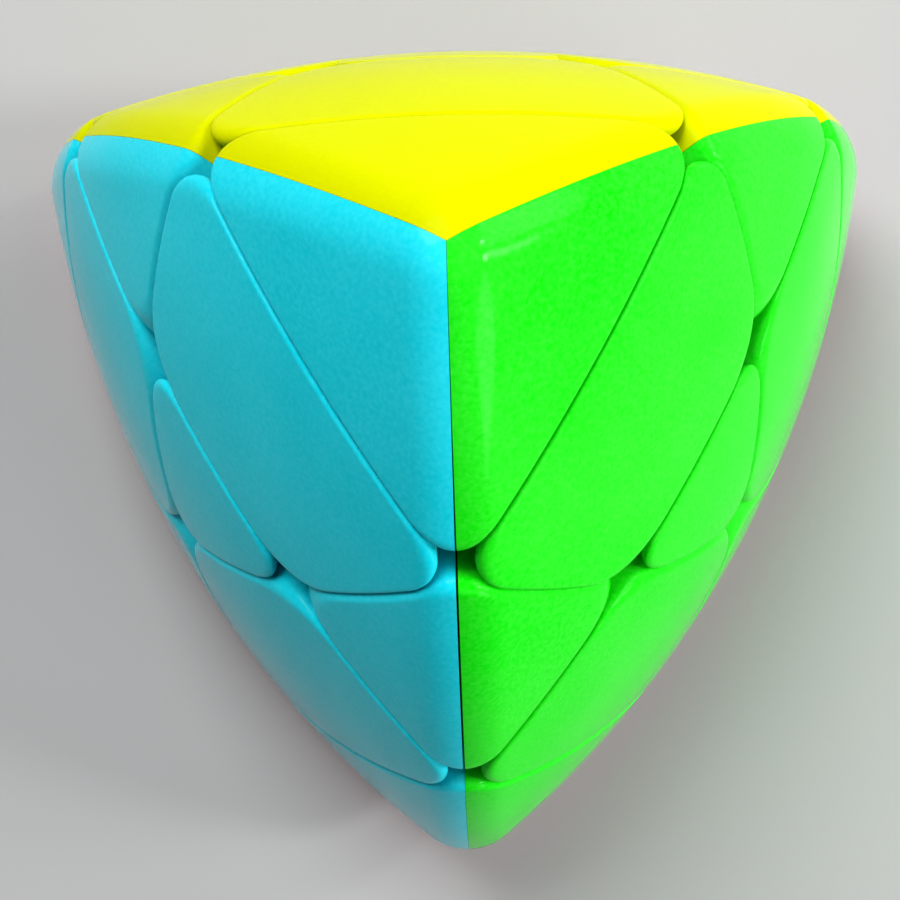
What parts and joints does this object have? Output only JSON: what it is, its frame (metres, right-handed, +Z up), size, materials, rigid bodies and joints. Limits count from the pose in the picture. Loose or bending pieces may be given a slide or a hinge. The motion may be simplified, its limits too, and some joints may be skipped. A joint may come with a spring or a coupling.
{
  "type": "pyramid twisty puzzle",
  "caption": "Pillowed pyramid twisty puzzle with coloured faces and no stickers: tips, edges, triangles and ridge centres on an inner core whose layers turn.",
  "frame": {"origin": "Centre of the mechanism, where the six screw axes meet; it is also the centroid.", "axes": "+Z points up through the top tip, with the puzzle standing on its pink face. -Y points to the front tip: the ridge between the blue and green faces runs down it. Blue is on the -X side, green on the +X side and yellow at +Y."},
  "size_m": [0.077, 0.0742, 0.0724],
  "materials": {
    "blue_plastic": "satin moulded",
    "green_plastic": "satin moulded",
    "yellow_plastic": "satin moulded",
    "pink_plastic": "satin moulded",
    "stem_plastic": "as moulded",
    "core_plastic": "as moulded",
    "screw_steel": "zinc plated",
    "spring_steel": "drawn wire"
  },
  "bodies": {
    "core": {"core": "core_plastic", "front_ridge_screw": "screw_steel", "front_ridge_spring": "spring_steel", "back_base_ridge_screw": "screw_steel", "back_base_ridge_spring": "spring_steel", "right_ridge_screw": "screw_steel", "right_ridge_spring": "spring_steel", "front_left_base_ridge_screw": "screw_steel", "front_left_base_ridge_spring": "spring_steel", "left_ridge_screw": "screw_steel", "left_ridge_spring": "spring_steel", "front_right_base_ridge_screw": "screw_steel", "front_right_base_ridge_spring": "spring_steel"},
    "front_ridge_centre": {"front_ridge_stem": "stem_plastic", "front_ridge_green": "green_plastic", "front_ridge_blue": "blue_plastic"},
    "back_base_ridge_centre": {"back_base_ridge_stem": "stem_plastic", "back_base_ridge_pink": "pink_plastic", "back_base_ridge_yellow": "yellow_plastic"},
    "right_ridge_centre": {"right_ridge_stem": "stem_plastic", "right_ridge_yellow": "yellow_plastic", "right_ridge_green": "green_plastic"},
    "front_left_base_ridge_centre": {"front_left_base_ridge_stem": "stem_plastic", "front_left_base_ridge_pink": "pink_plastic", "front_left_base_ridge_blue": "blue_plastic"},
    "left_ridge_centre": {"left_ridge_stem": "stem_plastic", "left_ridge_yellow": "yellow_plastic", "left_ridge_blue": "blue_plastic"},
    "front_right_base_ridge_centre": {"front_right_base_ridge_stem": "stem_plastic", "front_right_base_ridge_pink": "pink_plastic", "front_right_base_ridge_green": "green_plastic"},
    "edge_yellow_top": {"edge_yellow_top": "yellow_plastic"},
    "edge_green_right": {"edge_green_right": "green_plastic"},
    "edge_blue_left": {"edge_blue_left": "blue_plastic"},
    "edge_pink_front": {"edge_pink_front": "pink_plastic"},
    "edge_blue_top": {"edge_blue_top": "blue_plastic"},
    "edge_yellow_left": {"edge_yellow_left": "yellow_plastic"},
    "edge_green_front": {"edge_green_front": "green_plastic"},
    "edge_pink_right": {"edge_pink_right": "pink_plastic"},
    "edge_green_top": {"edge_green_top": "green_plastic"},
    "edge_blue_front": {"edge_blue_front": "blue_plastic"},
    "edge_yellow_right": {"edge_yellow_right": "yellow_plastic"},
    "edge_pink_left": {"edge_pink_left": "pink_plastic"},
    "tip_top": {"tip_top_yellow": "yellow_plastic", "tip_top_green": "green_plastic", "tip_top_blue": "blue_plastic"},
    "triangle_green": {"triangle_green": "green_plastic"},
    "triangle_blue": {"triangle_blue": "blue_plastic"},
    "tip_front": {"tip_front_pink": "pink_plastic", "tip_front_green": "green_plastic", "tip_front_blue": "blue_plastic"},
    "triangle_yellow": {"triangle_yellow": "yellow_plastic"},
    "tip_right": {"tip_right_pink": "pink_plastic", "tip_right_yellow": "yellow_plastic", "tip_right_green": "green_plastic"},
    "tip_left": {"tip_left_pink": "pink_plastic", "tip_left_yellow": "yellow_plastic", "tip_left_blue": "blue_plastic"},
    "triangle_pink": {"triangle_pink": "pink_plastic"}
  },
  "joints": [
    {"name": "front_ridge_turn", "type": "hinge", "parent": "core", "child": "front_ridge_centre", "pos_m": [0, 0, 0], "axis": [0, -0.8165, 0.5773], "continuous": true},
    {"name": "back_base_ridge_turn", "type": "hinge", "parent": "core", "child": "back_base_ridge_centre", "pos_m": [0, 0, 0], "axis": [0, 0.8165, -0.5773], "continuous": true},
    {"name": "right_ridge_turn", "type": "hinge", "parent": "core", "child": "right_ridge_centre", "pos_m": [0, 0, 0], "axis": [0.7071, 0.4082, 0.5774], "continuous": true},
    {"name": "front_left_base_ridge_turn", "type": "hinge", "parent": "core", "child": "front_left_base_ridge_centre", "pos_m": [0, 0, 0], "axis": [-0.7071, -0.4082, -0.5774], "continuous": true},
    {"name": "left_ridge_turn", "type": "hinge", "parent": "core", "child": "left_ridge_centre", "pos_m": [0, 0, 0], "axis": [-0.7071, 0.4082, 0.5774], "continuous": true},
    {"name": "front_right_base_ridge_turn", "type": "hinge", "parent": "core", "child": "front_right_base_ridge_centre", "pos_m": [0, 0, 0], "axis": [0.7071, -0.4082, -0.5774], "continuous": true},
    {"name": "edge_yellow_top_turn", "type": "hinge", "parent": "right_ridge_centre", "child": "edge_yellow_top", "pos_m": [0, 0, 0], "axis": [-0.7071, 0.4082, 0.5774], "continuous": true},
    {"name": "edge_green_right_turn", "type": "hinge", "parent": "right_ridge_centre", "child": "edge_green_right", "pos_m": [0, 0, 0], "axis": [0.7071, -0.4082, -0.5774], "continuous": true},
    {"name": "edge_blue_left_turn", "type": "hinge", "parent": "front_left_base_ridge_centre", "child": "edge_blue_left", "pos_m": [0, 0, 0], "axis": [-0.7071, 0.4082, 0.5774], "continuous": true},
    {"name": "edge_pink_front_turn", "type": "hinge", "parent": "front_left_base_ridge_centre", "child": "edge_pink_front", "pos_m": [0, 0, 0], "axis": [0.7071, -0.4082, -0.5774], "continuous": true},
    {"name": "edge_blue_top_turn", "type": "hinge", "parent": "left_ridge_centre", "child": "edge_blue_top", "pos_m": [0, 0, 0], "axis": [0, -0.8165, 0.5773], "continuous": true},
    {"name": "edge_yellow_left_turn", "type": "hinge", "parent": "left_ridge_centre", "child": "edge_yellow_left", "pos_m": [0, 0, 0], "axis": [0, 0.8165, -0.5773], "continuous": true},
    {"name": "edge_green_front_turn", "type": "hinge", "parent": "front_right_base_ridge_centre", "child": "edge_green_front", "pos_m": [0, 0, 0], "axis": [0, -0.8165, 0.5773], "continuous": true},
    {"name": "edge_pink_right_turn", "type": "hinge", "parent": "front_right_base_ridge_centre", "child": "edge_pink_right", "pos_m": [0, 0, 0], "axis": [0, 0.8165, -0.5773], "continuous": true},
    {"name": "edge_green_top_turn", "type": "hinge", "parent": "front_ridge_centre", "child": "edge_green_top", "pos_m": [0, 0, 0], "axis": [0.7071, 0.4082, 0.5774], "continuous": true},
    {"name": "edge_blue_front_turn", "type": "hinge", "parent": "front_ridge_centre", "child": "edge_blue_front", "pos_m": [0, 0, 0], "axis": [-0.7071, -0.4082, -0.5774], "continuous": true},
    {"name": "edge_yellow_right_turn", "type": "hinge", "parent": "back_base_ridge_centre", "child": "edge_yellow_right", "pos_m": [0, 0, 0], "axis": [0.7071, 0.4082, 0.5774], "continuous": true},
    {"name": "edge_pink_left_turn", "type": "hinge", "parent": "back_base_ridge_centre", "child": "edge_pink_left", "pos_m": [0, 0, 0], "axis": [-0.7071, -0.4082, -0.5774], "continuous": true},
    {"name": "tip_top_turn", "type": "hinge", "parent": "edge_green_top", "child": "tip_top", "pos_m": [0, 0, 0], "axis": [-0.7071, 0.4082, 0.5774], "continuous": true},
    {"name": "triangle_green_turn", "type": "hinge", "parent": "edge_green_top", "child": "triangle_green", "pos_m": [0, 0, 0], "axis": [0.7071, -0.4082, -0.5774], "continuous": true},
    {"name": "triangle_blue_turn", "type": "hinge", "parent": "edge_blue_front", "child": "triangle_blue", "pos_m": [0, 0, 0], "axis": [-0.7071, 0.4082, 0.5774], "continuous": true},
    {"name": "tip_front_turn", "type": "hinge", "parent": "edge_blue_front", "child": "tip_front", "pos_m": [0, 0, 0], "axis": [0.7071, -0.4082, -0.5774], "continuous": true},
    {"name": "triangle_yellow_turn", "type": "hinge", "parent": "edge_yellow_right", "child": "triangle_yellow", "pos_m": [0, 0, 0], "axis": [-0.7071, 0.4082, 0.5774], "continuous": true},
    {"name": "tip_right_turn", "type": "hinge", "parent": "edge_yellow_right", "child": "tip_right", "pos_m": [0, 0, 0], "axis": [0.7071, -0.4082, -0.5774], "continuous": true},
    {"name": "tip_left_turn", "type": "hinge", "parent": "edge_pink_left", "child": "tip_left", "pos_m": [0, 0, 0], "axis": [-0.7071, 0.4082, 0.5774], "continuous": true},
    {"name": "triangle_pink_turn", "type": "hinge", "parent": "edge_pink_left", "child": "triangle_pink", "pos_m": [0, 0, 0], "axis": [0.7071, -0.4082, -0.5774], "continuous": true}
  ],
  "couplings": [
    {"joint": "edge_yellow_top_turn", "follows": "left_ridge_turn", "ratio": 1},
    {"joint": "edge_green_right_turn", "follows": "front_right_base_ridge_turn", "ratio": 1},
    {"joint": "edge_blue_left_turn", "follows": "left_ridge_turn", "ratio": 1},
    {"joint": "edge_pink_front_turn", "follows": "front_right_base_ridge_turn", "ratio": 1},
    {"joint": "edge_blue_top_turn", "follows": "front_ridge_turn", "ratio": 1},
    {"joint": "edge_yellow_left_turn", "follows": "back_base_ridge_turn", "ratio": 1},
    {"joint": "edge_green_front_turn", "follows": "front_ridge_turn", "ratio": 1},
    {"joint": "edge_pink_right_turn", "follows": "back_base_ridge_turn", "ratio": 1},
    {"joint": "edge_green_top_turn", "follows": "right_ridge_turn", "ratio": 1},
    {"joint": "edge_blue_front_turn", "follows": "front_left_base_ridge_turn", "ratio": 1},
    {"joint": "edge_yellow_right_turn", "follows": "right_ridge_turn", "ratio": 1},
    {"joint": "edge_pink_left_turn", "follows": "front_left_base_ridge_turn", "ratio": 1},
    {"joint": "tip_top_turn", "follows": "left_ridge_turn", "ratio": 1},
    {"joint": "triangle_green_turn", "follows": "front_right_base_ridge_turn", "ratio": 1},
    {"joint": "triangle_blue_turn", "follows": "left_ridge_turn", "ratio": 1},
    {"joint": "tip_front_turn", "follows": "front_right_base_ridge_turn", "ratio": 1},
    {"joint": "triangle_yellow_turn", "follows": "left_ridge_turn", "ratio": 1},
    {"joint": "tip_right_turn", "follows": "front_right_base_ridge_turn", "ratio": 1},
    {"joint": "tip_left_turn", "follows": "left_ridge_turn", "ratio": 1},
    {"joint": "triangle_pink_turn", "follows": "front_right_base_ridge_turn", "ratio": 1}
  ]
}
